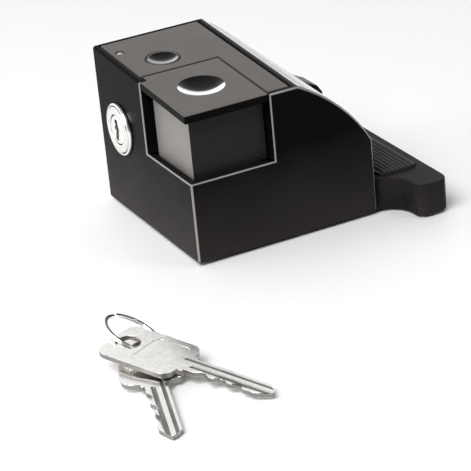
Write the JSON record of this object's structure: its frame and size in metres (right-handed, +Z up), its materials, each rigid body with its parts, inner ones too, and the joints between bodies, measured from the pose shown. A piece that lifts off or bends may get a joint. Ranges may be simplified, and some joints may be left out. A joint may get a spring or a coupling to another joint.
{
  "type": "laptop desk lock block with keys",
  "caption": "Key-operated block that hooks a laptop's rear corner, with release button, push button and spare keys on a ring.",
  "frame": {"origin": "bottom centre of the bounding box of the tower, its foot and the keys lying in front of it", "axes": "+Z up from the desk, +X to the computer's side, +Y to the back; the keys lie towards -Y"},
  "size_m": [0.133, 0.1526, 0.0517],
  "materials": {
    "black_plastic": "glossy black moulding",
    "grey_satin": "satin dark grey moulding",
    "rubber": "matt black rubber",
    "nickel": "polished nickel plate",
    "chrome": "bright chrome",
    "steel": "plain zinc-plated steel",
    "board_green": "green circuit board",
    "lamp_clear": "clear moulded lens"
  },
  "bodies": {
    "block": {"housing": "black_plastic", "base_plate": "black_plastic", "tact_switch": "black_plastic", "board_connector": "black_plastic", "top_panel": "grey_satin", "foot_1": "rubber", "foot_2": "rubber", "foot_3": "rubber", "foot_4": "rubber", "foot_pad": "rubber", "side_pad": "rubber", "lock_barrel": "nickel", "cable_slot_plate": "nickel", "lock_bezel": "chrome", "base_screw_1": "steel", "base_screw_2": "steel", "base_screw_3": "steel", "base_screw_4": "steel", "guide_post_front": "steel", "guide_post_rear": "steel", "release_spring_front": "steel", "release_spring_rear": "steel", "latch_spring": "steel", "lock_nut": "steel", "hook_screw_1": "steel", "hook_screw_2": "steel", "button_spring": "steel", "board_screw_1": "steel", "board_screw_2": "steel", "switch_board": "board_green", "lamp_chip": "lamp_clear", "lamp_lens": "lamp_clear"},
    "release_slider": {"release_button": "grey_satin"},
    "bolt": {"latch_bolt": "steel"},
    "key_plug": {"lock_plug": "chrome", "lock_cam": "steel", "cam_screw": "steel"},
    "hook": {"hook_slide": "steel"},
    "push": {"push_button": "grey_satin", "switch_plunger": "rubber"},
    "ring": {"key_ring": "nickel"},
    "upper_key": {"key_upper": "nickel"},
    "lower_key": {"key_lower": "nickel"}
  },
  "joints": [
    {"name": "release_press", "type": "slide", "parent": "block", "child": "release_slider", "axis": [0, 0, -1], "range_m": [0, 0.004], "stiffness_N_per_m": 600, "springref_m": -0.002, "deforming": ["release_spring_front", "release_spring_rear"]},
    {"name": "bolt_slide", "type": "slide", "parent": "block", "child": "bolt", "axis": [-1, 0, 0], "range_m": [0, 0.004], "stiffness_N_per_m": 200, "springref_m": -0.002, "deforming": ["latch_spring"]},
    {"name": "plug_turn", "type": "hinge", "parent": "block", "child": "key_plug", "pos_m": [-0.01349, 0.06031, 0.029], "axis": [-1, 0, 0], "range_deg": [0, 90]},
    {"name": "hook_travel", "type": "slide", "parent": "block", "child": "hook", "axis": [0, -1, 0], "range_m": [0, 0.00495]},
    {"name": "push_press", "type": "slide", "parent": "block", "child": "push", "axis": [0, 0.0608, -0.9981], "range_m": [0, 0.0008], "stiffness_N_per_m": 800, "springref_m": -0.0005, "deforming": ["button_spring"]},
    {"name": "ring_lift", "type": "slide", "parent": "block", "child": "ring", "axis": [0, 0, 1], "range_m": [0, 0.05]},
    {"name": "upper_key_swing", "type": "hinge", "parent": "ring", "child": "upper_key", "pos_m": [-0.05569, -0.02999, 0.0055], "axis": [0, 0, 1], "range_deg": [0, 30]},
    {"name": "lower_key_swing", "type": "hinge", "parent": "ring", "child": "lower_key", "pos_m": [-0.05139, -0.03023, 0.00276], "axis": [0, 0, 1], "range_deg": [-25, 0]}
  ],
  "couplings": [
    {"joint": "bolt_slide", "follows": "release_press", "ratio": 1},
    {"joint": "plug_turn", "follows": "hook_travel", "rad_per_m": 317.3}
  ]
}
